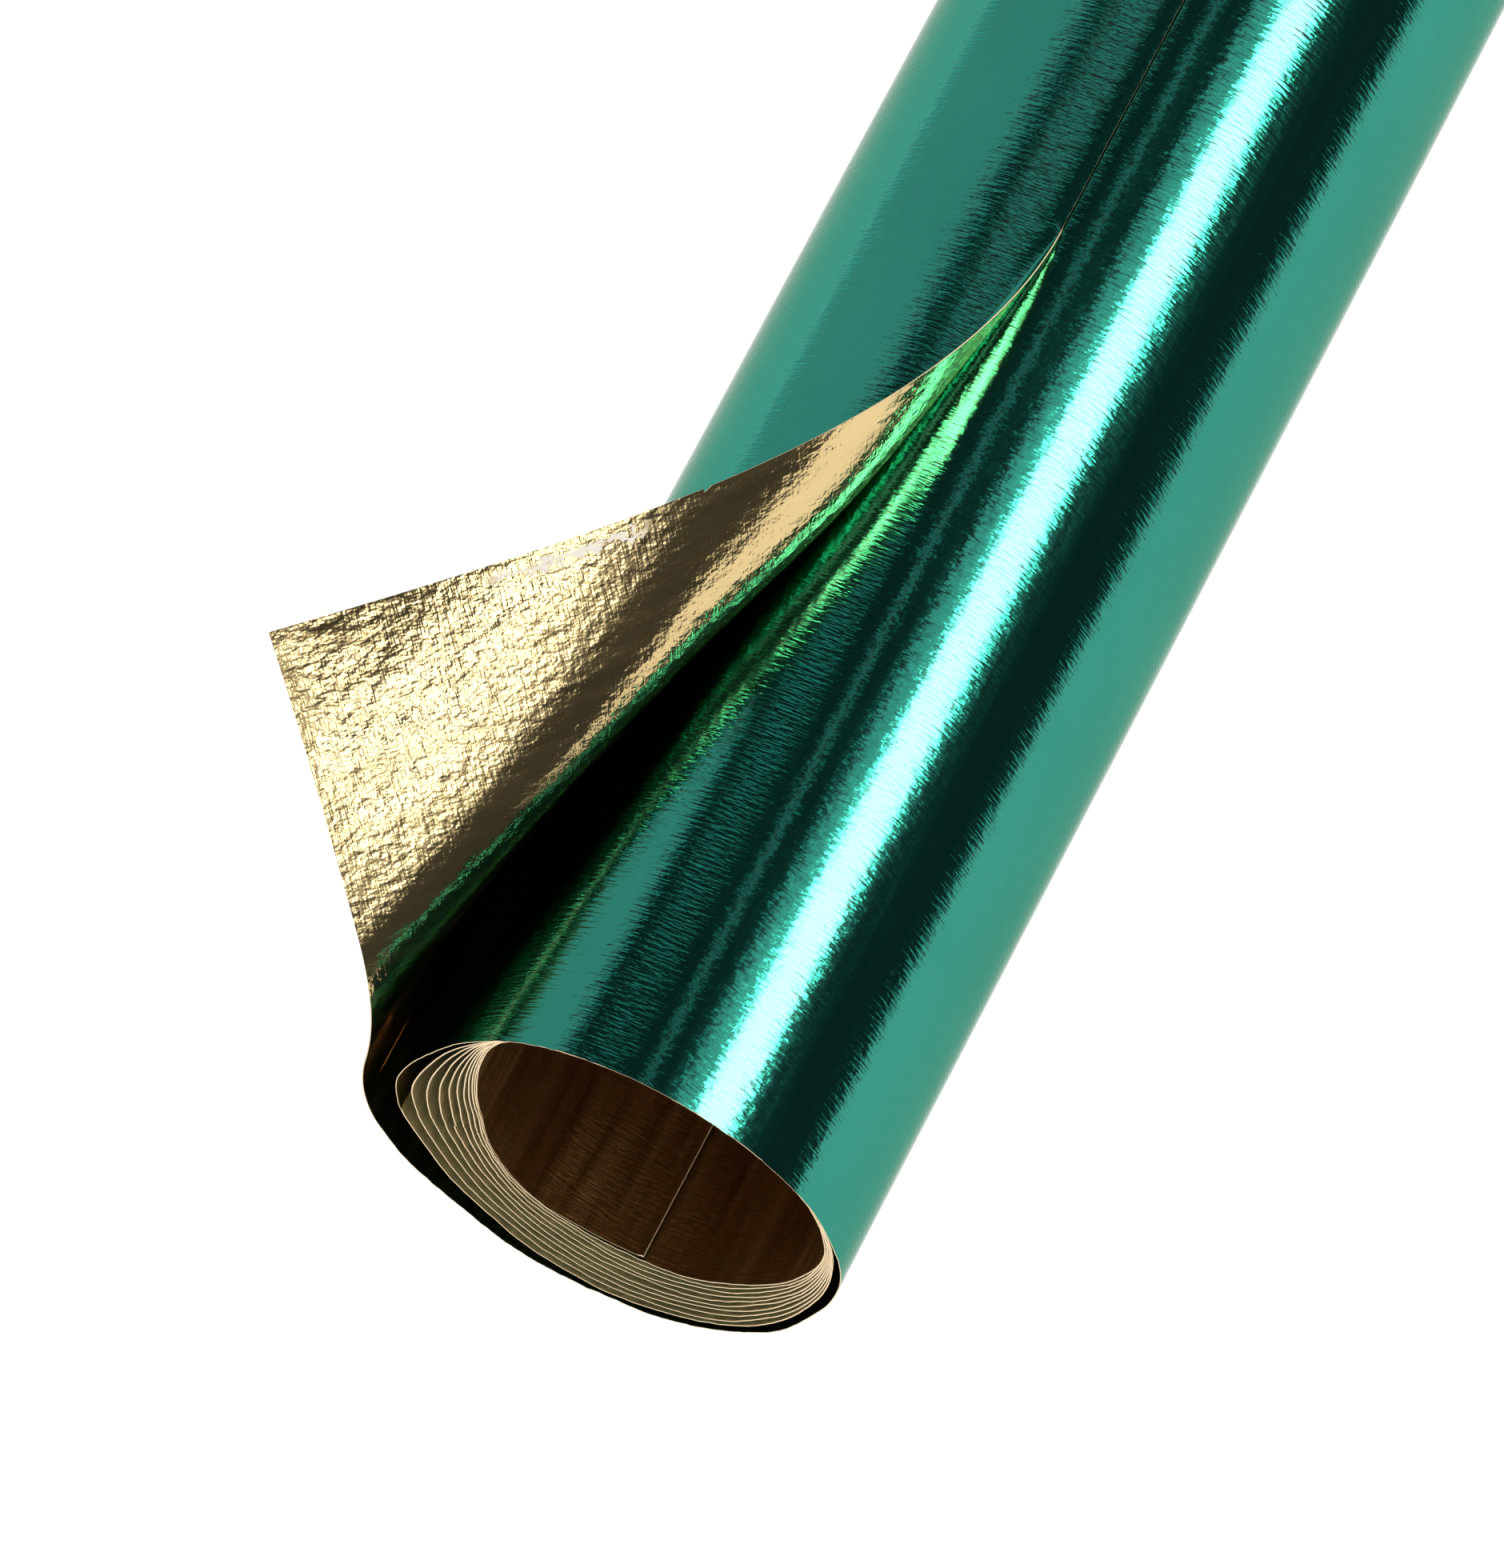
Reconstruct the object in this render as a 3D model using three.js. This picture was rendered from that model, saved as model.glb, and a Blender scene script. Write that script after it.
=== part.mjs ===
// A coreless roll of two-sided foil gift wrap, lying on its side with one corner of the outermost
// sheet peeled back. Millimetres, +Z up. The roll lies along Y: its near end is at -Y, and the
// origin is on the flat strip that the paper rests on, midway along the roll.
import * as THREE from 'three';

// Driving dimensions.
const WEB_WIDTH = 700; // the roll's length, which is the width of the paper
const AXIS_HEIGHT = 29.1; // the winding's centre above the surface it rests on
const PAPER = 0.12; // thickness of the sheet
const LEAST_PITCH = 0.2; // from one winding to the next where they lie tightest
const TURNS = 11.55; // windings from the inner cut edge to the outer free edge
const FREE_EDGE = 87; // angle of the outer free edge, degrees from +X towards +Z
const SEAM = 186; // angle at which one winding is parted from the next
const STEP = 6; // degrees between the points of a winding
const SEAM_GAP = 0.4; // clearance between parted edges
const SEAM_RADIUS = 30; // a usual distance of the seam from the centre, which sets its angle
const SLACK = 1.2; // how much more the outer windings spring apart on the left than the inner
const NEAR_Y = -WEB_WIDTH / 2;
const REST_FROM = 264; // the stretch of the outline that lies flat on the surface
const REST_TO = 282;

// The soft winding isn't round. Each outline is [angle, radius] keys from the free edge's angle
// on round, in through the sheet: the outermost winding, the one under it, and the open middle.
const OUTERMOST = [
  [87, 28.6], [105, 29.4], [125, 30.9], [145, 31.8], [163, 32.2], [180, 32.1], [190, 31.85],
  [202, 31.1], [214, 29.9], [228, 28.95], [246, 28.9], [264, 29.26], [282, 29.75], [291, 29.9],
  [304, 30.2], [320, 30.2], [334, 30.05], [347, 30.5], [358, 30.8], [370, 30.4], [386, 29.95],
  [404, 29.1], [420, 28.35], [434, 27.98], [447, 27.85],
];
const SECOND = [
  [87, 27.85], [112, 27.75], [128, 27.1], [141, 26.8], [153, 26.95], [164, 27.5], [173, 27.85],
  [186, 27.2], [203, 25.9], [220, 25.65], [234, 25.8], [250, 26.9], [270, 27.9], [290, 28.5],
  [311, 28.95], [330, 28.8], [347, 29.2], [363, 29.75], [371, 30.0], [386, 29.87],
  [404, 29.02], [420, 28.27], [434, 27.9], [447, 27.77],
];
const MIDDLE = [
  [87, 26.95], [100, 26.95], [112, 26.9], [120, 26.3], [128, 24.9], [137, 22.6], [148, 20.3],
  [161, 18.2], [177, 16.5], [205, 16.1], [233, 16.4], [253, 16.0], [272, 16.6], [289, 17.8],
  [304, 19.7], [323, 21.9], [341, 24.7], [355, 26.9], [368, 28.7], [386, 29.0], [404, 28.2],
  [420, 27.4], [434, 27.08], [447, 26.95],
];

// The peeled corner, measured from the near end.
const PEEL_LENGTH = 128; // how far along the free edge the sheet has lifted
const LIFT = [[0, 170], [9, 157], [28, 139], [50, 124], [76, 109], [101, 98], [128, 87]];
const CORNER = [-55.8, 28.4, 45.2]; // tip of the corner, from the winding's centre
const CORNER_PULL = [-34, 53.6, 41]; // the free edge's two guide points
const EDGE_PULL = [8.1, 78.7, 56.6];
const HINGE_NEAR = [-34.9, 5.8, 24.1]; // where the flat of the corner starts, on the near edge
const HINGE_FAR_Y = 57; // and where that line meets the free edge
const BEND = 6; // length over which the lifted sheet turns away from the roll
const SWEEP = 0.45; // share of the lifted strip over which it turns towards the corner
const SETTLE = 45; // how far past the flat corner's end that turn dies away

const radians = THREE.MathUtils.degToRad;

// Value at x on the smooth curve through rising [x, value] keys, which never overshoots a key.
function along(keys, x) {
  const last = keys.length - 1;
  const found = keys.findIndex((key) => key[0] > x);
  const i = THREE.MathUtils.clamp(found === -1 ? last : found, 1, last) - 1;
  const rise = (k) => (keys[k + 1][1] - keys[k][1]) / (keys[k + 1][0] - keys[k][0]);
  const slope = (k) => {
    if (k === 0) return rise(0);
    if (k === last) return rise(last - 1);
    const [before, after] = [rise(k - 1), rise(k)];
    return before * after <= 0 ? 0 : (2 * before * after) / (before + after);
  };
  const width = keys[i + 1][0] - keys[i][0];
  const t = THREE.MathUtils.clamp((x - keys[i][0]) / width, 0, 1);
  const [t2, t3] = [t * t, t * t * t];
  return keys[i][1] * (2 * t3 - 3 * t2 + 1) + keys[i + 1][1] * (3 * t2 - 2 * t3)
    + slope(i) * width * (t3 - 2 * t2 + t) + slope(i + 1) * width * (t3 - t2);
}

// Distance to the outermost winding, flat where it rests.
function outermost(key) {
  const flat = key >= REST_FROM && key <= REST_TO;
  return flat ? AXIS_HEIGHT / Math.abs(Math.sin(radians(key))) : along(OUTERMOST, key);
}

// Distance to the web's outer face, a number of turns in from its free edge.
function webRadius(turnsIn) {
  if (turnsIn <= 1) return outermost(FREE_EDGE + 360 * Math.max(turnsIn, 0));
  const inner = TURNS - 1;
  const layer = turnsIn - 1;
  const part = layer % 1;
  const key = FREE_EDGE + 360 * part;
  const second = Math.min(along(SECOND, key), outermost(key) - LEAST_PITCH);
  const middle = Math.min(along(MIDDLE, key), second - LEAST_PITCH * (inner - part));
  const left = (1 - Math.cos(radians(key - 5))) / 2;
  const even = Math.min(1, (LEAST_PITCH * inner) / (second - middle));
  const share = (n) => (even * n) / inner
    + (1 - even) * (1 - (1 - n / inner) ** (1 + SLACK * left ** 3));
  return second - ((second - middle) * (share(layer) - share(part))) / (1 - share(part));
}

// A point of the web's cross-section, as [x, z] from the winding's centre.
function webPoint(turnsIn, inset) {
  const angle = radians(FREE_EDGE + 360 * turnsIn);
  const radius = webRadius(turnsIn) - inset;
  return new THREE.Vector2(radius * Math.cos(angle), radius * Math.sin(angle));
}

// One winding, from turnsIn = inner to turnsIn = outer, as a closed strip along the roll.
function winding(inner, outer) {
  const gap = SEAM_GAP / 2 / (2 * Math.PI * SEAM_RADIUS);
  const from = outer + gap;
  const to = inner - gap;
  const stations = [from];
  const first = Math.ceil((FREE_EDGE + 360 * from + STEP / 8) / STEP) * STEP;
  for (let angle = first; angle < FREE_EDGE + 360 * to - STEP / 8; angle += STEP) {
    stations.push((angle - FREE_EDGE) / 360);
  }
  stations.push(to);
  const face = stations.map((n) => webPoint(n, 0));
  const back = stations.map((n) => webPoint(n, PAPER)).reverse();
  const shape = new THREE.Shape([...face, ...back]);
  const solid = new THREE.ExtrudeGeometry(shape, { depth: WEB_WIDTH, bevelEnabled: false });
  solid.rotateX(Math.PI / 2);
  solid.translate(0, WEB_WIDTH / 2, AXIS_HEIGHT);
  return solid;
}

// A thin closed shell over a grid of points, thickened towards the side that the grid faces.
function shell(rows) {
  const columns = rows[0].length;
  const at = (i, j) => rows[THREE.MathUtils.clamp(i, 0, rows.length - 1)][
    THREE.MathUtils.clamp(j, 0, columns - 1)];
  const points = [];
  for (const side of [0, PAPER]) {
    for (let i = 0; i < rows.length; i += 1) {
      for (let j = 0; j < columns; j += 1) {
        const u = at(i + 1, j).clone().sub(at(i - 1, j));
        const v = at(i, j + 1).clone().sub(at(i, j - 1));
        const normal = u.cross(v).normalize();
        points.push(...at(i, j).clone().addScaledVector(normal, side).toArray());
      }
    }
  }
  const count = rows.length * columns;
  const index = [];
  const quad = (a, b, c, d) => index.push(a, b, c, a, c, d);
  for (let i = 0; i < rows.length - 1; i += 1) {
    for (let j = 0; j < columns - 1; j += 1) {
      const [a, b] = [i * columns + j, i * columns + j + 1];
      const [c, d] = [b + columns, a + columns];
      quad(a, b, c, d);
      index.push(count + a, count + c, count + b, count + a, count + d, count + c);
    }
  }
  const rim = [];
  for (let j = 0; j < columns - 1; j += 1) rim.push(j);
  for (let i = 0; i < rows.length - 1; i += 1) rim.push(i * columns + columns - 1);
  for (let j = columns - 1; j > 0; j -= 1) rim.push((rows.length - 1) * columns + j);
  for (let i = rows.length - 1; i > 0; i -= 1) rim.push(i * columns);
  rim.forEach((a, k) => {
    const b = rim[(k + 1) % rim.length];
    quad(b, a, count + a, count + b);
  });
  const geometry = new THREE.BufferGeometry();
  geometry.setAttribute('position', new THREE.Float32BufferAttribute(points, 3));
  geometry.setIndex(index);
  geometry.computeVertexNormals();
  return geometry;
}

// The outer sheet. y is measured from the near end, and points from the winding's centre there.
const freeEdge = new THREE.CubicBezierCurve3(
  new THREE.Vector3(...CORNER),
  new THREE.Vector3(...CORNER_PULL),
  new THREE.Vector3(...EDGE_PULL),
  new THREE.Vector3(
    webRadius(0) * Math.cos(radians(FREE_EDGE)), PEEL_LENGTH,
    webRadius(0) * Math.sin(radians(FREE_EDGE))),
);
const edgePoint = (y) => freeEdge.getPointAt(THREE.MathUtils.clamp(y / PEEL_LENGTH, 0, 1));
const hingeNear = new THREE.Vector3(...HINGE_NEAR);
const hingeFar = edgePoint(HINGE_FAR_Y);
const hingePoint = (y) => hingeNear.clone().lerp(hingeFar, y / HINGE_FAR_Y);

// A point on the roll's outermost layer at an angle, and the way that the sheet runs there.
function onRoll(angle, y) {
  const point = webPoint((angle - FREE_EDGE) / 360, 0);
  return new THREE.Vector3(point.x, y, point.y);
}
function runs(angle) {
  return new THREE.Vector3(Math.sin(radians(angle)), 0, -Math.cos(radians(angle)));
}

// The lifted stretch from the roll to where the flap starts, or to the free edge beyond it.
function lifted(y) {
  const angle = along(LIFT, y);
  const start = onRoll(angle, y);
  const end = y < HINGE_FAR_Y ? hingePoint(y) : edgePoint(y);
  const span = start.distanceTo(end);
  const flat = Math.min(y, HINGE_FAR_Y - 2);
  const across = edgePoint(flat).sub(hingePoint(flat)).normalize();
  const settled = THREE.MathUtils.clamp((y - HINGE_FAR_Y) / SETTLE, 0, 1);
  const onward = across.lerp(end.clone().sub(start).normalize(), settled).normalize();
  return new THREE.CubicBezierCurve3(
    start, start.clone().addScaledVector(runs(angle), Math.min(BEND, span / 3)),
    end.clone().addScaledVector(onward, -SWEEP * span), end);
}

function placed(point) {
  return new THREE.Vector3(point.x, point.y + NEAR_Y, point.z + AXIS_HEIGHT);
}

const PEEL_ROWS = [0, 4, 9, 15, 22, 29, 36, 43, 50, 54, 57, 64, 70, 75, 82, 90, 98, 106, 114, 122, 128];
const PLAIN_ROWS = [200, 360, 530, WEB_WIDTH];
const ROLL_COLUMNS = 10;
const LIFT_COLUMNS = 7;

function tailPanel() {
  const start = SEAM - (SEAM_GAP / 2 / SEAM_RADIUS) * (180 / Math.PI);
  const rows = [...PEEL_ROWS, ...PLAIN_ROWS].map((y) => {
    const leave = Math.max(along(LIFT, y), FREE_EDGE + 6);
    const row = [];
    const curve = y < PEEL_LENGTH ? lifted(y) : null;
    for (let k = 0; k < ROLL_COLUMNS; k += 1) {
      const to = curve ? along(LIFT, y) : leave;
      row.push(placed(onRoll(THREE.MathUtils.lerp(start, to, k / ROLL_COLUMNS), y)));
    }
    for (let k = 0; k <= LIFT_COLUMNS; k += 1) {
      const share = k / LIFT_COLUMNS;
      row.push(placed(curve ? curve.getPointAt(share)
        : onRoll(THREE.MathUtils.lerp(leave, FREE_EDGE, share), y)));
    }
    return row;
  });
  return shell(rows);
}

function cornerFlap() {
  const rows = PEEL_ROWS.filter((y) => y < HINGE_FAR_Y).map((y) => {
    const [from, to] = [hingePoint(y), edgePoint(y)];
    const clear = SEAM_GAP / from.distanceTo(to);
    return [0, 0.25, 0.5, 0.75, 1].map((share) => placed(
      from.clone().lerp(to, clear + (1 - clear) * share)));
  });
  return shell(rows);
}

const foil = { green: 0x1f9e86, gold: 0xd9b25a };
const roll = new THREE.Group();
function add(name, geometry, color) {
  const material = new THREE.MeshStandardMaterial({ color, roughness: 0.18, metalness: 0.9 });
  const mesh = new THREE.Mesh(geometry, material);
  mesh.name = name;
  roll.add(mesh);
}

const lastSeam = (SEAM - FREE_EDGE) / 360;
const WINDINGS = 10;
for (let k = 1; k <= WINDINGS; k += 1) {
  const outer = lastSeam + WINDINGS + 1 - k;
  const inner = k === 1 ? TURNS : outer + 1;
  add(`turn_${String(k).padStart(2, '0')}`, winding(inner, outer), foil.gold);
}
add('outer_wrap', winding(lastSeam + 1, lastSeam), foil.green);
add('tail_panel', tailPanel(), foil.green);
add('corner_flap', cornerFlap(), foil.gold);

export default roll;
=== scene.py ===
import math

import bpy
import numpy as np
from mathutils import Matrix, Vector, noise


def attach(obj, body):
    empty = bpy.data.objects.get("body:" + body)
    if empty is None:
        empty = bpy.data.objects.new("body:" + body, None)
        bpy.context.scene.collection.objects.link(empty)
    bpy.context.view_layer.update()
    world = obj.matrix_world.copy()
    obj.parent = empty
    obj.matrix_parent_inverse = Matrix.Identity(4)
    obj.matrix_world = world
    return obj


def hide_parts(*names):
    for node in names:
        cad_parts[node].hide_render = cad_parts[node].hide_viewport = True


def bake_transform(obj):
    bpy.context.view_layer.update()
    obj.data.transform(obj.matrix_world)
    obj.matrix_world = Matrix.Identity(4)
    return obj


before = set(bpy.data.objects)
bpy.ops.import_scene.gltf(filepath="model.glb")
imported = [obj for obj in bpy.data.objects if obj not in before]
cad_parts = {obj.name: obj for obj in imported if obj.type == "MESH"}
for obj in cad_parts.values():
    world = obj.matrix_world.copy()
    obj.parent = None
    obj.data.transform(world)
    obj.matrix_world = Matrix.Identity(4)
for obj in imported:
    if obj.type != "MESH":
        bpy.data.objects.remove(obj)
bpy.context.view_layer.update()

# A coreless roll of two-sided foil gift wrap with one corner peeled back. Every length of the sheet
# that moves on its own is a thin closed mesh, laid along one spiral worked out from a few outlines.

# ---------------------------------------------------------------- driving dimensions, millimetres
MM = 0.001
WEB_WIDTH = 700.0  # the roll's length
AXIS_HEIGHT = 29.1  # the winding's centre above the floor
NEAR_Y = -WEB_WIDTH / 2
TURNS = 11.55  # windings from the inner cut edge to the free edge
FREE_EDGE = 87.0  # angle of the free edge, degrees from +X towards +Z
SEAM = 186.0  # angle at which one winding's piece ends and the next begins
LEAST_PITCH = 0.078  # sheet on sheet where the windings lie tightest
SLACK = 1.2  # how much more the outer windings spring apart on the left
THINNEST = 0.065  # the sheet where it is pressed
THICKEST = 0.17  # the sheet where it stands free
FILL = 0.8  # share of the room between windings that the sheet's thickness takes up
WRAP_THINNER = 0.02  # how much thinner the outermost winding is than the free part it joins
RECESS = 0.07  # how much further in each winding lies than the one around it
INNER_EDGE = 0.3  # the sheet at its innermost cut edge, where it has fluffed up
REST_FROM, REST_TO = 264.0, 282.0  # the stretch that lies flat on the floor
WINDINGS = 10

# Unevenness of the sheet: [height, size around the roll, size along it].
WAVES = [0.03, 14, 45]  # all over the windings
FLARES = [0.22, 6, 30]  # towards both ends, where the cut edges spread
STEPS = [0.16, 9, 1]  # how far the cut edges lie in or out
NICKS = [0.10, 1.3, 1]  # and more finely
LONG_WAVES = [0.05, 22, 40]  # all over the outer sheet's free part
DENTS = [0.10, 5, 5]  # near the corner
CRINKLES = [0.035, 1.6, 1.6]
END_REACH = 8.0  # how far in from its ends the roll is uneven
FULL_ROOM = 0.5  # room that a winding needs for its full unevenness
SEAM_FADE = 10.0  # the free part is even where it joins the winding, over this length
CORNER_REACH = 45.0, 60.0  # how far in from the free edge and from the near end the dents go

# Outlines of the soft winding: [angle, radius], from the free edge's angle on round.
OUTERMOST = [
    [87, 28.6], [105, 29.4], [125, 30.9], [145, 31.8], [163, 32.2], [180, 32.1], [190, 31.85],
    [202, 31.1], [214, 29.9], [228, 28.95], [246, 28.9], [264, 29.26], [282, 29.75], [291, 29.9],
    [304, 30.2], [320, 30.2], [334, 30.05], [347, 30.5], [358, 30.8], [370, 30.4], [386, 29.95],
    [404, 29.1], [420, 28.35], [434, 27.98], [447, 27.85],
]
SECOND = [
    [87, 27.85], [112, 27.75], [128, 27.1], [141, 26.8], [153, 26.95], [164, 27.5], [173, 27.85],
    [186, 27.2], [203, 25.9], [220, 25.65], [234, 25.8], [250, 26.9], [270, 27.9], [290, 28.5],
    [311, 28.95], [330, 28.8], [347, 29.2], [363, 29.75], [371, 30.0], [386, 29.87],
    [404, 29.02], [420, 28.27], [434, 27.9], [447, 27.77],
]
MIDDLE = [
    [87, 26.95], [100, 26.95], [112, 26.9], [120, 26.3], [128, 24.9], [137, 22.6], [148, 20.3],
    [161, 18.2], [177, 16.5], [205, 16.1], [233, 16.4], [253, 16.0], [272, 16.6], [289, 17.8],
    [304, 19.7], [323, 21.9], [341, 24.7], [355, 26.9], [368, 28.7], [386, 29.0], [404, 28.2],
    [420, 27.4], [434, 27.08], [447, 26.95],
]

# The peeled corner, from the winding's centre at the near end.
PEEL_LENGTH = 128.0  # how far along the roll the outer sheet is off it
# [distance from the near end, angle at which the sheet leaves the roll]
LIFT = [[0, 170], [9, 157], [28, 139], [50, 124], [76, 109], [101, 98], [128, 87]]
CORNER = (-55.8, 28.4, 45.2)
CORNER_PULL = (-34.0, 53.6, 41.0)  # the free edge's curve heads for these two from its ends
EDGE_PULL = (8.1, 78.7, 56.6)
HINGE_NEAR = (-34.9, 5.8, 24.1)  # the corner's crease starts here
HINGE_FAR_Y = 57.0  # and ends this far along the free edge
BEND = 6.0  # how far the lifted sheet carries on along the roll's tangent
SWEEP = 0.45  # share of the lifted strip over which it turns towards the corner
SETTLE = 45.0  # length beyond the crease over which that turn fades
CURL = 3.0  # how far the corner curls towards its green side, this far from the crease
FLAT_REACH = 37.0
SHEET = 0.13  # thickness of the outer sheet's free part


def along(keys, x):
    """Value at x on the smooth curve through rising [x, value] keys, which never overshoots."""
    k = np.array(keys, float)
    step, rise = np.diff(k[:, 0]), np.diff(k[:, 1]) / np.diff(k[:, 0])
    slope = np.zeros(len(k))
    slope[0], slope[-1] = rise[0], rise[-1]
    before, after = rise[:-1], rise[1:]
    turn = before * after > 0
    slope[1:-1][turn] = 2 * before[turn] * after[turn] / (before + after)[turn]
    x = np.asarray(x, float)
    i = np.clip(np.searchsorted(k[:, 0], x, side="right") - 1, 0, len(k) - 2)
    t = np.clip((x - k[i, 0]) / step[i], 0, 1)
    return (
        k[i, 1] * (2 * t**3 - 3 * t**2 + 1) + k[i + 1, 1] * (3 * t**2 - 2 * t**3)
        + slope[i] * step[i] * (t**3 - 2 * t**2 + t) + slope[i + 1] * step[i] * (t**3 - t**2)
    )


def outermost(key):
    """The outermost outline, with its flat stretch on the floor."""
    flat = (key >= REST_FROM) & (key <= REST_TO)
    return np.where(flat, AXIS_HEIGHT / np.abs(np.sin(np.radians(key))), along(OUTERMOST, key))


def web_radius(turns_in):
    """Distance from the winding's centre to the web, a number of turns in from its free edge."""
    n = np.asarray(turns_in, float)
    inner, layer = TURNS - 1, np.maximum(n - 1, 0)
    part = np.mod(layer, 1)
    key = FREE_EDGE + 360 * part
    second = np.minimum(along(SECOND, key), outermost(key) - LEAST_PITCH)
    middle = np.minimum(along(MIDDLE, key), second - LEAST_PITCH * (inner - part))
    left = (1 - np.cos(np.radians(key - 5))) / 2  # 1 on the left side, 0 on the right
    even = np.minimum(1, LEAST_PITCH * inner / (second - middle))

    def share(m):
        bare = np.clip(1 - m / inner, 0, 1)
        return even * m / inner + (1 - even) * (1 - bare ** (1 + SLACK * left**3))

    depth = (share(layer) - share(part)) / (1 - share(part))
    return np.where(n < 1, outermost(FREE_EDGE + 360 * np.clip(n, 0, 1)),
                    second - (second - middle) * depth)


def placed(points):
    """Points measured from the winding's centre at the near end, in the row frame in metres."""
    return (np.asarray(points, float) + np.array([0, NEAR_Y, AXIS_HEIGHT])) * MM


def wobble(u, v, kind, seed):
    """Smooth noise of one kind of unevenness, at the sheet's own coordinates in millimetres."""
    height, around, along_roll = kind
    values = [noise.noise(Vector((a / around, b / along_roll, seed)))
              for a, b in zip(u.ravel(), v.ravel())]
    return height * np.array(values).reshape(u.shape)


# ---------------------------------------------------------------- camera
CAMERA_BACK = Vector((0.2103, -0.457, 0.864))  # from the target towards the camera
CAMERA_RIGHT = Vector((0.9085, 0.418, 0.0))
CAMERA_DISTANCE = 1.9  # metres
CAMERA_TARGET = placed((-1.25, 44.4, 23.8))
CAMERA_LENS = 366.4


def make_camera():
    data = bpy.data.cameras.new("camera")
    data.lens = CAMERA_LENS
    data.sensor_width = 36
    data.clip_start = 0.05
    data.clip_end = 50
    camera = bpy.data.objects.new("camera", data)
    bpy.context.scene.collection.objects.link(camera)
    back = CAMERA_BACK.normalized()
    right = (CAMERA_RIGHT - back * CAMERA_RIGHT.dot(back)).normalized()
    up = back.cross(right)
    turn = Matrix((right, up, back)).transposed()
    place = Vector(CAMERA_TARGET) + back * CAMERA_DISTANCE
    camera.matrix_world = Matrix.Translation(place) @ turn.to_4x4()
    bpy.context.scene.camera = camera


make_camera()


# ---------------------------------------------------------------- materials
def new_material(name):
    material = bpy.data.materials.new(name)
    material.use_nodes = True
    tree = material.node_tree
    return material, tree, tree.nodes["Principled BSDF"]


def node(tree, kind, **values):
    made = tree.nodes.new(kind)
    for key, value in values.items():
        setattr(made, key, value)
    return made


def scaled_uv(tree, scale):
    """The sheet's own coordinates, in millimetres, scaled along and across."""
    uv = node(tree, "ShaderNodeUVMap", uv_map="sheet")
    mapping = node(tree, "ShaderNodeMapping")
    mapping.inputs["Scale"].default_value = (*scale, 1)
    tree.links.new(uv.outputs["UV"], mapping.inputs["Vector"])
    return mapping.outputs["Vector"]


def noise_at(tree, vector, scale, detail=3, rough=0.6):
    made = node(tree, "ShaderNodeTexNoise")
    made.inputs["Scale"].default_value = scale
    made.inputs["Detail"].default_value = detail
    made.inputs["Roughness"].default_value = rough
    tree.links.new(vector, made.inputs["Vector"])
    return made.outputs["Fac"]


def cells_at(tree, vector):
    """Soft round scales, each about one unit across."""
    made = node(tree, "ShaderNodeTexVoronoi", feature="SMOOTH_F1")
    made.inputs["Scale"].default_value = 1.0
    made.inputs["Smoothness"].default_value = 0.6
    tree.links.new(vector, made.inputs["Vector"])
    return made.outputs["Distance"]


def ramp(tree, value, low, high, out_low, out_high):
    made = node(tree, "ShaderNodeMapRange", clamp=True)
    for name, number in zip(("From Min", "From Max", "To Min", "To Max"),
                            (low, high, out_low, out_high)):
        made.inputs[name].default_value = number
    tree.links.new(value, made.inputs["Value"])
    return made.outputs["Result"]


def math_node(tree, operation, *values):
    made = node(tree, "ShaderNodeMath", operation=operation)
    for socket, value in zip(made.inputs, values):
        if isinstance(value, (int, float)):
            socket.default_value = value
        else:
            tree.links.new(value, socket)
    return made.outputs["Value"]


def mix_color(tree, factor, low, high):
    made = node(tree, "ShaderNodeMix", data_type="RGBA")
    made.inputs["A"].default_value = (*low, 1)
    made.inputs["B"].default_value = (*high, 1)
    tree.links.new(factor, made.inputs["Factor"])
    return made.outputs["Result"]


def bumps(tree, layers):
    """Chains (height, distance in metres) bumps and returns the normal."""
    normal = None
    for height, distance in layers:
        made = node(tree, "ShaderNodeBump")
        made.inputs["Strength"].default_value = 1.0
        made.inputs["Distance"].default_value = distance
        tree.links.new(height, made.inputs["Height"])
        if normal is not None:
            tree.links.new(normal, made.inputs["Normal"])
        normal = made.outputs["Normal"]
    return normal


def foil(name, low, high, rough, grain, crinkle, coat, rim):
    """Metallised film: fine drawn grain around the roll, scaly crinkle, dull streaks along it."""
    material, tree, shader = new_material(name)
    shader.inputs["Metallic"].default_value = 1.0
    shader.inputs["Coat Weight"].default_value = coat
    shader.inputs["Coat Roughness"].default_value = 0.1
    shader.inputs["Specular Tint"].default_value = (*rim, 1)
    patches = noise_at(tree, scaled_uv(tree, (0.05, 0.03)), 1.0)
    tree.links.new(mix_color(tree, patches, low, high), shader.inputs["Base Color"])
    scuffs = noise_at(tree, scaled_uv(tree, (0.45, 0.02)), 1.0, 5)
    tree.links.new(ramp(tree, scuffs, 0.35, 0.7, rough[0], rough[1]), shader.inputs["Roughness"])
    fine = noise_at(tree, scaled_uv(tree, (0.38, 2.2)), 1.0, 2, 0.5)
    scales = cells_at(tree, scaled_uv(tree, (0.75, 0.5)))
    dents = noise_at(tree, scaled_uv(tree, (0.8, 0.5)), 1.0, 2)
    normal = bumps(tree, [(dents, 1.4 * crinkle * MM), (scales, 0.5 * crinkle * MM),
                          (fine, grain * MM)])
    tree.links.new(normal, shader.inputs["Normal"])
    return material


def paper_edge():
    material, tree, shader = new_material("paper_edge")
    fibres = noise_at(tree, scaled_uv(tree, (3.0, 3.0)), 1.0, 4)
    tree.links.new(mix_color(tree, fibres, (0.70, 0.50, 0.28), (0.92, 0.76, 0.52)),
                   shader.inputs["Base Color"])
    shader.inputs["Roughness"].default_value = 0.85
    tree.links.new(bumps(tree, [(fibres, 0.02 * MM)]), shader.inputs["Normal"])
    return material


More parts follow.
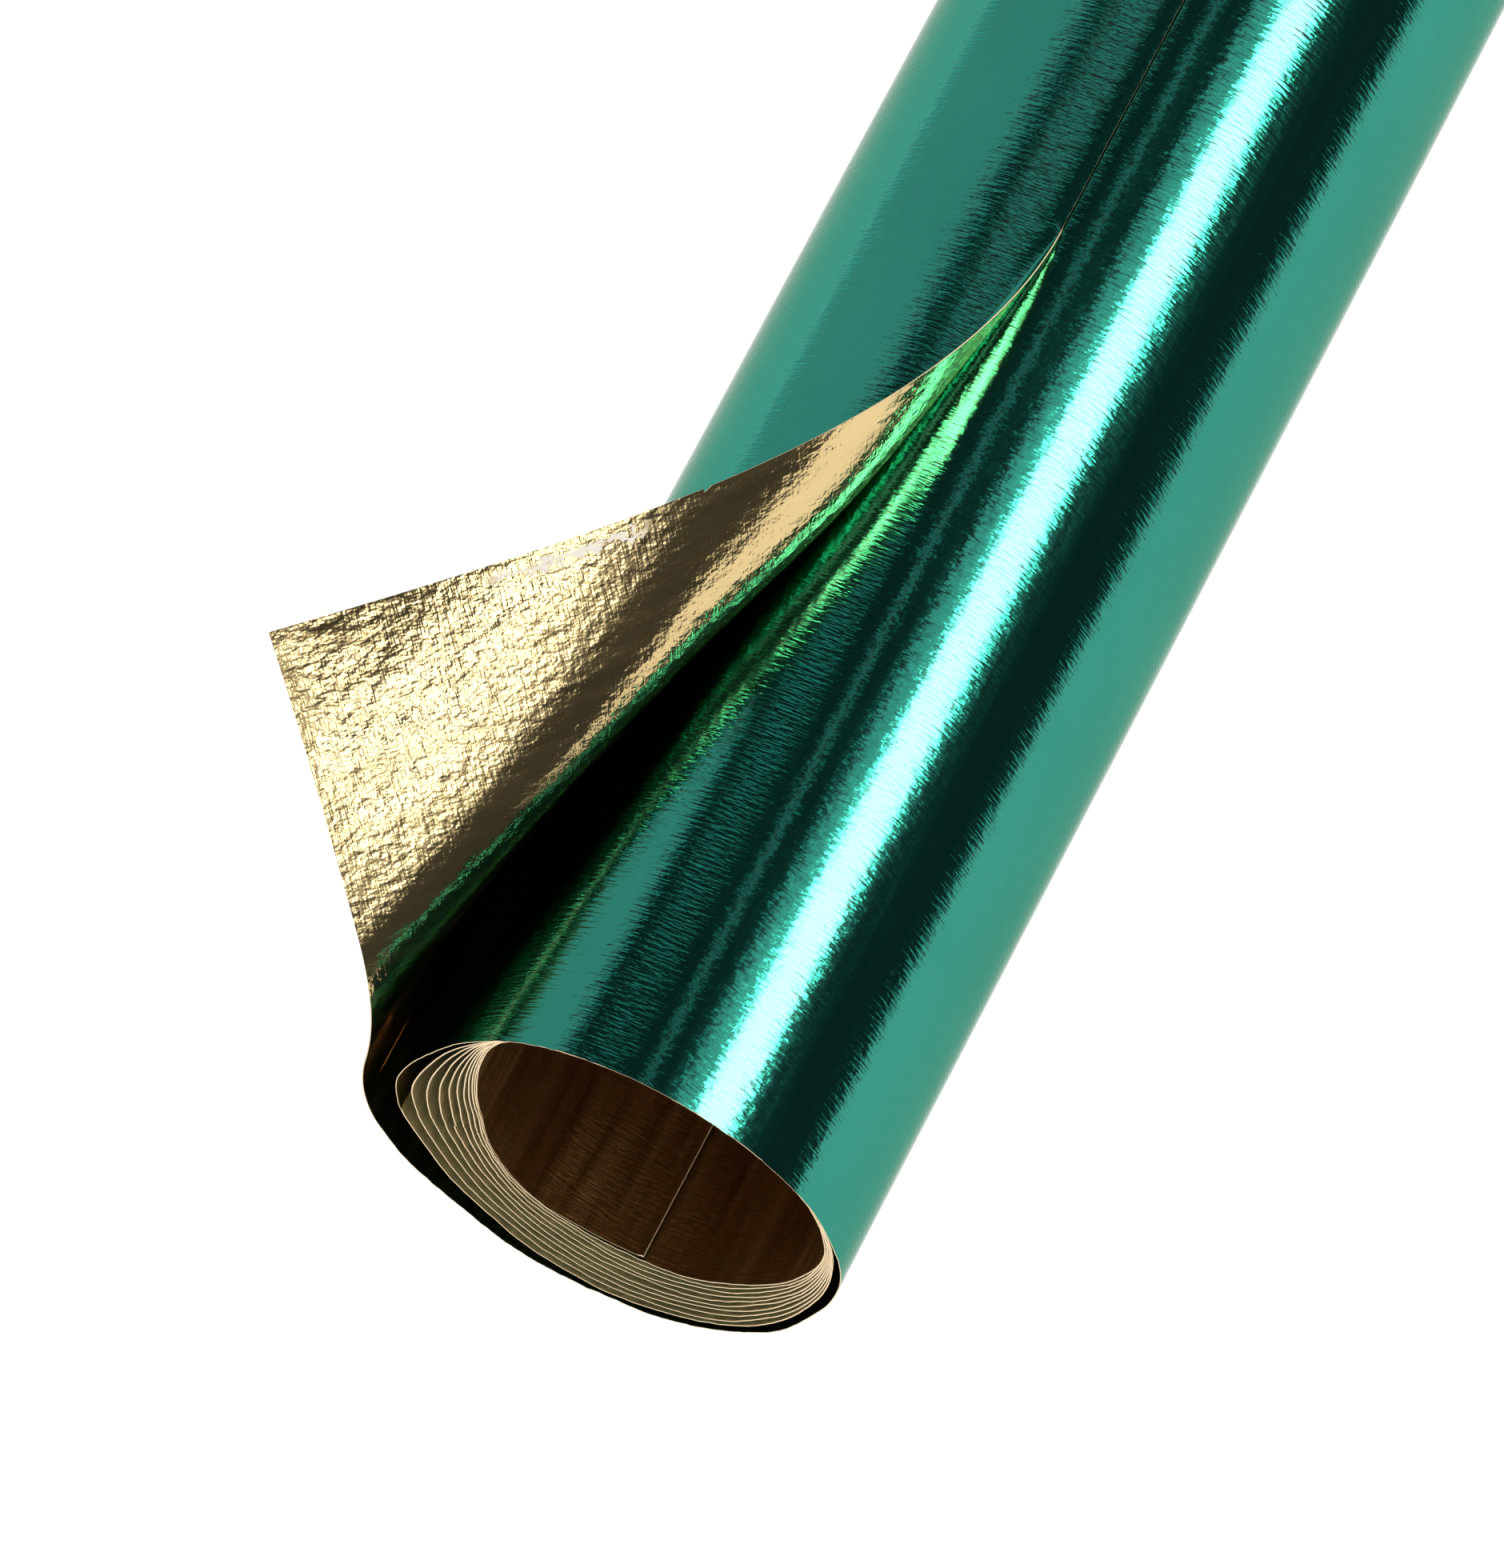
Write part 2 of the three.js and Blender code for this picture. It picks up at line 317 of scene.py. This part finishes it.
def fade_to(tree, factor, socket, value, kind):
    """Fades a shader socket, or what feeds it, to one value where the factor is 1."""
    mix = node(tree, "ShaderNodeMix", data_type=kind)
    low, high = [made for made in mix.inputs if made.name in "AB" and made.enabled]
    result = next(made for made in mix.outputs if made.enabled)
    low.default_value = socket.default_value
    high.default_value = value
    for link in socket.links:
        tree.links.new(link.from_socket, low)
    tree.links.new(factor, mix.inputs["Factor"])
    tree.links.new(result, socket)


TEAR_BEGINS = 27, 29  # millimetres from the near end
TEAR_STOPS = 46, 49
TEAR_OFFSET = -1.6  # the torn line's distance from the free edge where the noise is 0
TEAR_WANDER = 7.0
TEAR_WIDTH = 0.25, 0.45  # half of it, at full and at no strength
BARED_PAPER = (0.78, 0.74, 0.68, 1)


def tear_film(material):
    """Bares the pale paper where the film has torn off along the free edge near the corner."""
    tree = material.node_tree
    shader = tree.nodes["Principled BSDF"]
    split = node(tree, "ShaderNodeSeparateXYZ")
    tree.links.new(scaled_uv(tree, (1, 1)), split.inputs["Vector"])
    ragged = noise_at(tree, scaled_uv(tree, (0.4, 0.25)), 1.0, 4, 0.7)
    torn_at = math_node(tree, "MULTIPLY_ADD", ragged, TEAR_WANDER, TEAR_OFFSET)
    off_line = math_node(tree, "SUBTRACT", split.outputs["X"], torn_at)
    line = ramp(tree, math_node(tree, "ABSOLUTE", off_line), *TEAR_WIDTH, 1, 0)
    begun = ramp(tree, split.outputs["Y"], *TEAR_BEGINS, 0, 1)
    not_over = ramp(tree, split.outputs["Y"], *TEAR_STOPS, 1, 0)
    bare = math_node(tree, "MULTIPLY", line, math_node(tree, "MULTIPLY", begun, not_over))
    fade_to(tree, bare, shader.inputs["Base Color"], BARED_PAPER, "RGBA")
    fade_to(tree, bare, shader.inputs["Roughness"], 0.8, "FLOAT")
    fade_to(tree, bare, shader.inputs["Metallic"], 0.0, "FLOAT")


# Each foil: its darkest and lightest colour, its least and most roughness, then how deep its grain
# and its crinkle are in millimetres, its coat and the tint of its rim.
GREEN_RIM = (0.42, 0.60, 0.50)
GOLD_RIM = (0.85, 0.75, 0.55)
GREEN = foil("green_foil", (0.019, 0.23, 0.172), (0.027, 0.285, 0.213), (0.09, 0.15),
             grain=0.085, crinkle=0.012, coat=0.3, rim=GREEN_RIM)
GOLD = foil("gold_foil", (0.62, 0.45, 0.19), (0.78, 0.61, 0.29), (0.14, 0.24),
            grain=0.06, crinkle=0.02, coat=0.15, rim=GOLD_RIM)
CORNER_GOLD = foil("corner_gold_foil", (0.64, 0.47, 0.21), (0.80, 0.63, 0.32), (0.12, 0.22),
                   grain=0.05, crinkle=0.09, coat=0.2, rim=GOLD_RIM)
# The bore's gold is the same foil as the others, its colour painted darker and browner as painted
# shade inside the roll; it is rougher too.
SHADED_BORE_GOLD = foil("inner_gold_foil_painted_shade", (0.46, 0.27, 0.10), (0.64, 0.42, 0.18), (0.26, 0.44),
            grain=0.06, crinkle=0.04, coat=0.05, rim=GOLD_RIM)
LAYER_GOLD = foil("layer_gold_foil", (0.74, 0.50, 0.22), (0.90, 0.68, 0.36), (0.50, 0.70),
                  grain=0.06, crinkle=0.04, coat=0.05, rim=GOLD_RIM)
tear_film(CORNER_GOLD)
EDGE = paper_edge()
INSIDES = {"outer_wrap": GOLD, "turn_01": SHADED_BORE_GOLD}  # the bore's inside has its gold painted darker as shade; the others have LAYER_GOLD


# ---------------------------------------------------------------- sheet meshes
def sheet_mesh(name, front, back, uv, body, cut_start, cut_end, gold):
    """A thin closed sheet from two grids of points in metres: green front and gold back.

    Its rim is bare paper at both ends, and along the rows' starts and ends that are marked as cut.
    """
    rows, columns = front.shape[:2]
    count = rows * columns
    i, j = np.meshgrid(np.arange(rows - 1), np.arange(columns - 1), indexing="ij")
    a = (i * columns + j).ravel()
    b, c, d = a + 1, a + columns + 1, a + columns
    faces = np.concatenate([np.stack([a, b, c, d], 1), np.stack([d, c, b, a], 1) + count])
    top, right = np.arange(columns - 1), np.arange(rows - 1) * columns + columns - 1
    bottom = (rows - 1) * columns + np.arange(columns - 1, 0, -1)
    left = np.arange(rows - 1, 0, -1) * columns
    rim = np.concatenate([top, right, bottom, left])
    after = np.roll(rim, -1)
    faces = np.concatenate([faces, np.stack([after, rim, rim + count, after + count], 1)])
    points = np.concatenate([front.reshape(-1, 3), back.reshape(-1, 3)])
    mesh = bpy.data.meshes.new(name)
    mesh.from_pydata(points.tolist(), [], faces.tolist())
    cut_start, cut_end = (np.broadcast_to(flags, rows)[:-1] for flags in (cut_start, cut_end))
    ends = np.full(columns - 1, 2)
    rims = np.concatenate([ends, 1 + cut_end, ends, 1 + cut_start[::-1]])
    slots = np.concatenate([np.zeros(len(a)), np.ones(len(a)), rims])
    mesh.polygons.foreach_set("material_index", slots.astype(np.int32))
    mesh.polygons.foreach_set("use_smooth", np.ones(len(slots), bool))
    layer = mesh.uv_layers.new(name="sheet")
    corner = np.empty(len(mesh.loops), np.int32)
    mesh.loops.foreach_get("vertex_index", corner)
    flat = np.concatenate([uv.reshape(-1, 2), uv.reshape(-1, 2)])
    layer.data.foreach_set("uv", flat[corner].astype(np.float32).ravel())
    mesh.set_sharp_from_angle(angle=math.radians(50))
    for material in (GREEN, gold, EDGE):
        mesh.materials.append(material)
    obj = bpy.data.objects.new(name, mesh)
    bpy.context.scene.collection.objects.link(obj)
    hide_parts(body)
    return obj


def stations(spans):
    """Rising positions over spans of (start, end, step)."""
    found = [np.arange(start, end, step) for start, end, step in spans]
    return np.concatenate([*found, [spans[-1][1]]])


# Rows along the roll, in millimetres from its near end: close together near both ends.
FINE_ROWS = stations([(0, 6, 1.5), (6, 30, 6), (30, 670, 10), (670, 694, 6), (694, WEB_WIDTH, 1.5)])
PLAIN_ROWS = stations([(0, 6, 1.5), (6, 30, 12), (30, 670, 64), (670, 694, 12),
                       (694, WEB_WIDTH, 1.5)])


def winding(body, inner, outer, rows, step):
    """One winding of the web, from outer to inner turns in, with a point each step degrees."""
    count = int((inner - outer) * 360 / step)
    n = np.linspace(outer, inner, count)
    angle = np.radians(FREE_EDGE + 360 * n)
    radius = web_radius(n)
    free = radius - web_radius(np.minimum(n + 1, TURNS))
    thickest = SHEET - WRAP_THINNER if body == "outer_wrap" else THICKEST
    thick = np.clip(FILL * free, THINNEST, thickest)
    if inner == TURNS:
        thick[-1] = INNER_EDGE
    arc = np.cumsum(np.concatenate([[0], radius[:-1] * np.diff(angle)]))
    u, v = np.meshgrid(arc, rows)
    seed = 3.7 * outer  # so that no two windings are alike
    near = np.exp(-v / END_REACH) + np.exp(-(WEB_WIDTH - v) / END_REACH)
    room = np.clip((free - thick) / FULL_ROOM, 0, 1)
    lift = (wobble(u, v, WAVES, seed) + near * wobble(u, v, FLARES, seed + 9)) * room
    slip = wobble(u, 0 * v, STEPS, seed + 5) + wobble(u, 0 * v, NICKS, seed + 7)
    y = v + slip * np.where(v < WEB_WIDTH / 2, near, -near) + RECESS * n
    sides = [np.stack([reach * np.cos(angle), y, reach * np.sin(angle)], -1)
             for reach in (radius + lift, radius + lift - thick)]
    piece = sheet_mesh(f"{body}_paper", *map(placed, sides), np.stack([u, v], -1), body,
                       False, inner == TURNS, INSIDES.get(body, LAYER_GOLD))
    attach(piece, body)


last_seam = (SEAM - FREE_EDGE) / 360
for k in range(1, WINDINGS + 1):
    outer = last_seam + WINDINGS + 1 - k
    inner = TURNS if k == 1 else outer + 1
    winding(f"turn_{k:02d}", inner, outer, PLAIN_ROWS, 3.0)
winding("outer_wrap", last_seam + 1, last_seam, FINE_ROWS, 1.5)


# ---------------------------------------------------------------- the outer sheet
def bezier(points, t):
    a, b, c, d = (np.array(p, float) for p in points)
    t = np.asarray(t, float)[..., None]
    return a * (1 - t) ** 3 + 3 * b * (1 - t) ** 2 * t + 3 * c * (1 - t) * t**2 + d * t**3


def even_bezier(points, shares):
    """Points at even shares of the curve's length."""
    line = bezier(points, np.linspace(0, 1, 200))
    run = np.concatenate([[0], np.cumsum(np.linalg.norm(np.diff(line, axis=0), axis=1))])
    return np.stack([np.interp(np.asarray(shares) * run[-1], run, line[:, k]) for k in range(3)], -1)


def on_roll(angle, y):
    """Points of the outermost layer at angles, at one y or each its own."""
    angle = np.asarray(angle, float)
    radius = web_radius((angle - FREE_EDGE) / 360)
    turn = np.radians(angle)
    return np.stack([radius * np.cos(turn), y + 0 * turn, radius * np.sin(turn)], -1)


FREE_CURVE = (CORNER, CORNER_PULL, EDGE_PULL, tuple(on_roll(FREE_EDGE, PEEL_LENGTH)))
HINGE_FAR = even_bezier(FREE_CURVE, HINGE_FAR_Y / PEEL_LENGTH)


def edge_point(y):
    """Point of the peeled free edge, a distance along the sheet from its near end."""
    return even_bezier(FREE_CURVE, min(y / PEEL_LENGTH, 1))


def hinge_point(y):
    """Point of the crease at the same distance."""
    share = y / HINGE_FAR_Y
    return np.array(HINGE_NEAR) * (1 - share) + HINGE_FAR * share


def lifted(y, shares):
    """A row of the sheet from where it leaves the roll to the crease or, beyond it, the free edge."""
    angle = float(along(LIFT, y))
    start = on_roll(angle, y)
    end = hinge_point(y) if y < HINGE_FAR_Y else edge_point(y)
    turn = math.radians(angle)
    tangent = np.array([math.sin(turn), 0, -math.cos(turn)])
    span = np.linalg.norm(end - start)
    on_flap = min(y, HINGE_FAR_Y - 2)
    across = edge_point(on_flap) - hinge_point(on_flap)
    settled = min(max((y - HINGE_FAR_Y) / SETTLE, 0), 1)
    onward = (1 - settled) * across / np.linalg.norm(across) + settled * (end - start) / span
    onward = onward / np.linalg.norm(onward)
    bend = start + tangent * min(BEND, span / 3)
    return even_bezier((start, bend, end - onward * SWEEP * span, end), shares)


def grid_normals(points):
    """Unit normals of a grid of points, on its green side."""
    u, v = np.gradient(points, axis=0), np.gradient(points, axis=1)
    cross = np.cross(v, u)
    return cross / np.linalg.norm(cross, axis=-1, keepdims=True)


def arc_from_free_edge(points):
    """How far each point of each row is from the row's last one, along the sheet."""
    steps = np.linalg.norm(np.diff(points, axis=1), axis=2)
    back = np.cumsum(steps[:, ::-1], axis=1)[:, ::-1]
    return np.concatenate([back, np.zeros((len(points), 1))], axis=1)


ROLL_COLUMNS = 60  # points of a row on the roll, lifted off it, and across the corner
LIFT_COLUMNS = 40
FLAP_COLUMNS = 90
LAID_DEGREES = 6  # beyond the peel, the last stretch of a row, which takes the lifted columns
tail_rows = stations([(0, 130, 1.25), (130, 670, 10), (670, 694, 6), (694, WEB_WIDTH, 1.5)])
tail_points = []
for y in tail_rows:
    if y < PEEL_LENGTH:
        leave = float(along(LIFT, y))
        end = lifted(y, np.linspace(0, 1, LIFT_COLUMNS))
    else:
        leave = FREE_EDGE + LAID_DEGREES
        end = on_roll(np.linspace(leave, FREE_EDGE, LIFT_COLUMNS), y)
    start = on_roll(np.linspace(SEAM, leave, ROLL_COLUMNS, endpoint=False), y)
    tail_points.append(np.concatenate([start, end]))
tail_points = np.array(tail_points)
flap_rows = tail_rows[tail_rows < HINGE_FAR_Y]
shares = np.linspace(0, 1, FLAP_COLUMNS)[:, None]
flap_points = np.array([hinge_point(y) * (1 - shares) + edge_point(y) * shares for y in flap_rows])
flap_widths = np.linalg.norm(flap_points[:, -1] - flap_points[:, 0], axis=1)[:, None, None]
curl = CURL * (shares * flap_widths / FLAT_REACH) ** 2
flap_points = flap_points + grid_normals(flap_points) * curl

flap_arc = arc_from_free_edge(flap_points)
beyond = np.zeros(len(tail_rows))  # width of the corner beyond the end of each row
beyond[: len(flap_rows)] = flap_arc[:, 0]


def dented(points, u, v):
    """Moves the sheet's points along its normals: long soft waves, and crinkles near the corner."""
    around, along_roll = CORNER_REACH
    corner = np.exp(-((u / around) ** 2 + (v / along_roll) ** 2))
    crinkled = corner * (wobble(u, v, DENTS, 2.0) + wobble(u, v, CRINKLES, 4.0))
    from_seam = np.clip((u[:, :1] - u) / SEAM_FADE, 0, 1)
    height = (wobble(u, v, LONG_WAVES, 1.0) + crinkled) * from_seam
    return points + grid_normals(points) * height[..., None]


def free_sheet(name, points, extra, rows, body, cut_end):
    """A sheet of the outer layer's free part, with its rows' ends extra from the free edge."""
    u = arc_from_free_edge(points) + extra[:, None]
    v = np.repeat(rows[:, None], points.shape[1], 1)
    outside = dented(points, u, v)
    inside = outside - grid_normals(points) * SHEET
    return sheet_mesh(name, placed(outside), placed(inside), np.stack([u, v], -1), body, False,
                      cut_end, CORNER_GOLD)


tail = free_sheet("tail_paper", tail_points, beyond, tail_rows, "tail_panel",
                  tail_rows >= HINGE_FAR_Y)
flap = free_sheet("corner_paper", flap_points, np.zeros(len(flap_rows)), flap_rows, "corner_flap",
                  True)

hinge = Vector(placed(on_roll(SEAM, WEB_WIDTH / 2)))
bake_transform(tail)
crease = Vector(placed(HINGE_NEAR))
fold_line = (Vector(placed(HINGE_FAR)) - crease).normalized()
outward = Vector(placed(CORNER)) - crease
outward = (outward - fold_line * outward.dot(fold_line)).normalized()
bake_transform(flap)


# ---------------------------------------------------------------- floor and light
def make_floor():
    bpy.ops.mesh.primitive_plane_add(size=40, location=(0, 0, 0))
    floor = bpy.context.object
    floor.name = "floor"
    material, tree, shader = new_material("floor_paint")
    shader.inputs["Base Color"].default_value = (0.14, 0.14, 0.14, 1)
    shader.inputs["Roughness"].default_value = 0.9
    shader.inputs["Emission Color"].default_value = (1.0, 0.99, 0.975, 1)
    shader.inputs["Emission Strength"].default_value = 1.0
    floor.data.materials.append(material)


LIT_PLACE = Vector((0, -0.30, 0.03))  # near the roll's front end, in metres


def softbox(name, direction, distance, size, radiance, color=(1, 1, 1)):
    """An elliptical area light, seen from the lit place, its first size across the roll's axis."""
    across_size, along_size = size
    data = bpy.data.lights.new(name, "AREA")
    data.shape = "ELLIPSE"
    data.size = across_size
    data.size_y = along_size
    data.energy = radiance * math.pi * math.pi / 4 * across_size * along_size
    data.color = color
    light = bpy.data.objects.new(name, data)
    bpy.context.scene.collection.objects.link(light)
    away = Vector(direction).normalized()
    across = Vector((away.z, 0, -away.x)).normalized()
    turn = Matrix((across, away.cross(across), away)).transposed()
    light.matrix_world = Matrix.Translation(LIT_PLACE + away * distance) @ turn.to_4x4()
    light.visible_camera = False


make_floor()
# The bright band along the roll, the dimmer one around it and the thin streak beside them.
softbox("key", (0.53, 0.36, 0.70), 1.6, (0.40, 0.98), 20, (1.0, 0.97, 0.93))
softbox("halo", (0.46, 0.40, 0.77), 1.65, (0.62, 1.3), 0.9)
softbox("strip", (0.09, 0.46, 0.88), 1.6, (0.07, 1.2), 0.5)
# Left of the roll, and above its far end.
softbox("wall", (-0.86, 0.457, 0.30), 2.0, (2.5, 3.4), 0.70)
softbox("over", (-0.43, 1.02, 1.33), 1.73, (0.55, 0.40), 0.55)
# The gold corner, and the cut edges at the near end.
softbox("front", (0.36, -0.33, 0.87), 1.2, (0.19, 0.42), 4.4)
softbox("front_glow", (0.40, -0.33, 0.86), 1.25, (0.50, 0.90), 0.5)
softbox("ends", (0.10, -0.95, 0.30), 1.5, (0.8, 0.8), 8.0)
world = bpy.data.worlds.new("studio")
bpy.context.scene.world = world
world.use_nodes = True
world.node_tree.nodes["Background"].inputs["Color"].default_value = (0.05, 0.05, 0.05, 1)
bpy.context.scene.view_settings.view_transform = "Standard"
